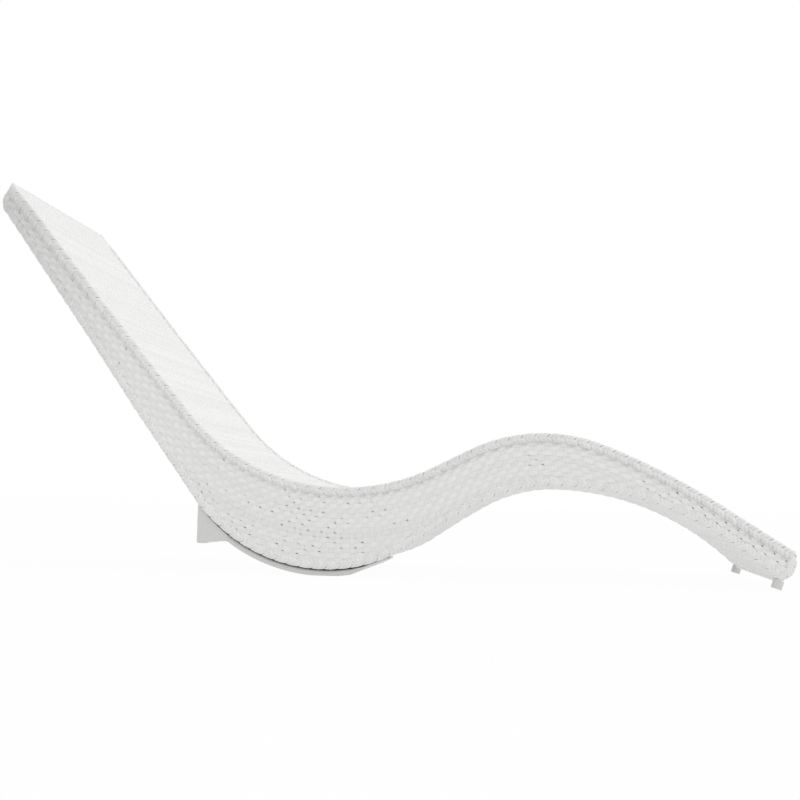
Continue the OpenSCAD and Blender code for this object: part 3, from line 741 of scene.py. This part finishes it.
# both canes get painted shade on their sides; the braid's cane is painted darker all over, as painted shade
# for the shade between its wraps, and keeps some painted shade on its sides all along
cane = caneMaterial("extruded_polyethylene_cane", "#EDEDEC", "#F7F7F6", leastPaintedShade=0.0)
braidCane = caneMaterial("narrow_polyethylene_cane_painted_shade", "#E8E8E7", "#F4F4F3", leastPaintedShade=0.2)
moulded = gelcoatMoulding()
glidePlastic = mouldedPolypropylene()
aluminium = millFinishAluminium()
zinc = zincPlatedSteel()
print("materials made")


def dress(obj, material):
    obj.data.materials.clear()
    obj.data.materials.append(material)


woven = {
    "seat_weave": seatSkin,
    "underside_weave": underSkin,
    "head_end_weave": headSkin,
    "foot_end_weave": footSkin,
    "side_weave_right": [sideRight],
    "side_weave_left": [sideLeft],
    "lower_braid_right": [lowerRight],
    "lower_braid_left": [lowerLeft],
}
for node, pieces in woven.items():
    for piece in pieces:
        dress(piece, cane)
        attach(piece, "root")
        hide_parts(node)
for piece, hand in ((upperRight, "right"), (upperLeft, "left")):
    dress(piece, braidCane)
    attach(piece, "root")
    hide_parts("upper_braid_" + hand)
for name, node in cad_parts.items():
    if name == "base_shell":
        dress(node, moulded)
    elif "glide" in name:
        dress(node, glidePlastic)
    elif name in ("weld_nuts", "base_washers", "base_bolts"):
        dress(node, zinc)
    elif not node.hide_render:
        dress(node, aluminium)
print("pieces dressed")


# Floor, light and camera
def seenByCamera(tree):  # 1 for rays from the camera, also by way of a glossy or clear surface
    rays = addNode(tree, "ShaderNodeLightPath")
    seen = rays.outputs["Is Camera Ray"]
    for kind in ("Is Glossy Ray", "Is Transmission Ray"):
        seen = addNode(tree, "ShaderNodeMath", {"operation": "ADD", "use_clamp": True},
                       i0=seen, i1=rays.outputs[kind]).outputs[0]
    return seen


studio = {
    "floorSize": 60, "floorHeight": -0.0005,
    "paper": "#F4F4F4", "hidden": 0.96,  # share of plain white that hides the shadow from the camera
    "upward": 0.8, "upwardShare": 0.6,  # light that the floor throws up at the lounger
    "around": 0.66,
    "softness": 70,  # how wide each soft box looks, in degrees
    "lens": 56.385, "sensor": 36,
    "camera": (0.3974, -3.225, 0.18974), "turned": (94.4065, -1.3675, 6.7171),
}
# Two broad soft boxes: one overhead towards the feet, a weaker one from the camera's side
softBoxes = {"overhead": {"energy": 0.86, "turned": (-8, 36, 0)},
             "front": {"energy": 0.28, "turned": (68, 0, 0)}}

deselectAll()
bpy.ops.mesh.primitive_plane_add(size=studio["floorSize"], location=(0, 0, studio["floorHeight"]))
floor = bpy.context.object
floor.name = "studio_floor"

# White paper sweep: it keeps a faint part of the shadow where the camera sees it
paper, tree = newMaterial("white_paper_floor")
lit = addNode(tree, "ShaderNodeBsdfDiffuse", Color=linear(studio["paper"]))
glow = addNode(tree, "ShaderNodeEmission", Color=linear("#FFFFFF"), Strength=1.0)
faint = addNode(tree, "ShaderNodeMixShader", i0=studio["hidden"], i1=lit.outputs[0], i2=glow.outputs[0])
upward = addNode(tree, "ShaderNodeEmission", Color=linear("#FFFFFF"), Strength=studio["upward"])
fromBelow = addNode(tree, "ShaderNodeMixShader", i0=studio["upwardShare"], i1=lit.outputs[0],
                    i2=upward.outputs[0])
shader = addNode(tree, "ShaderNodeMixShader", i0=seenByCamera(tree), i1=fromBelow.outputs[0],
                 i2=faint.outputs[0])
finishMaterial(tree, shader)
dress(floor, paper)

world = bpy.data.worlds.new("studio")
bpy.context.scene.world = world
world.use_nodes = True
tree = world.node_tree
tree.nodes.clear()
walls = addNode(tree, "ShaderNodeBackground", Color=linear("#FFFFFF"), Strength=studio["around"])
backdrop = addNode(tree, "ShaderNodeBackground", Color=linear("#FFFFFF"), Strength=1.0)
shader = addNode(tree, "ShaderNodeMixShader", i0=seenByCamera(tree), i1=walls.outputs[0],
                 i2=backdrop.outputs[0])
addNode(tree, "ShaderNodeOutputWorld", Surface=shader.outputs[0])

for name, box in softBoxes.items():
    lamp = bpy.data.lights.new(name, "SUN")
    lamp.energy = box["energy"]
    lamp.angle = math.radians(studio["softness"])
    softBox = bpy.data.objects.new(name, lamp)
    softBox.rotation_euler = [math.radians(angle) for angle in box["turned"]]
    bpy.context.scene.collection.objects.link(softBox)

lens = bpy.data.cameras.new("photo_camera")
lens.lens = studio["lens"]
lens.sensor_width = studio["sensor"]
camera = bpy.data.objects.new("photo_camera", lens)
camera.location = studio["camera"]
camera.rotation_euler = [math.radians(angle) for angle in studio["turned"]]
bpy.context.scene.collection.objects.link(camera)
bpy.context.scene.camera = camera
bpy.context.scene.view_settings.view_transform = "Standard"
print("stage set")
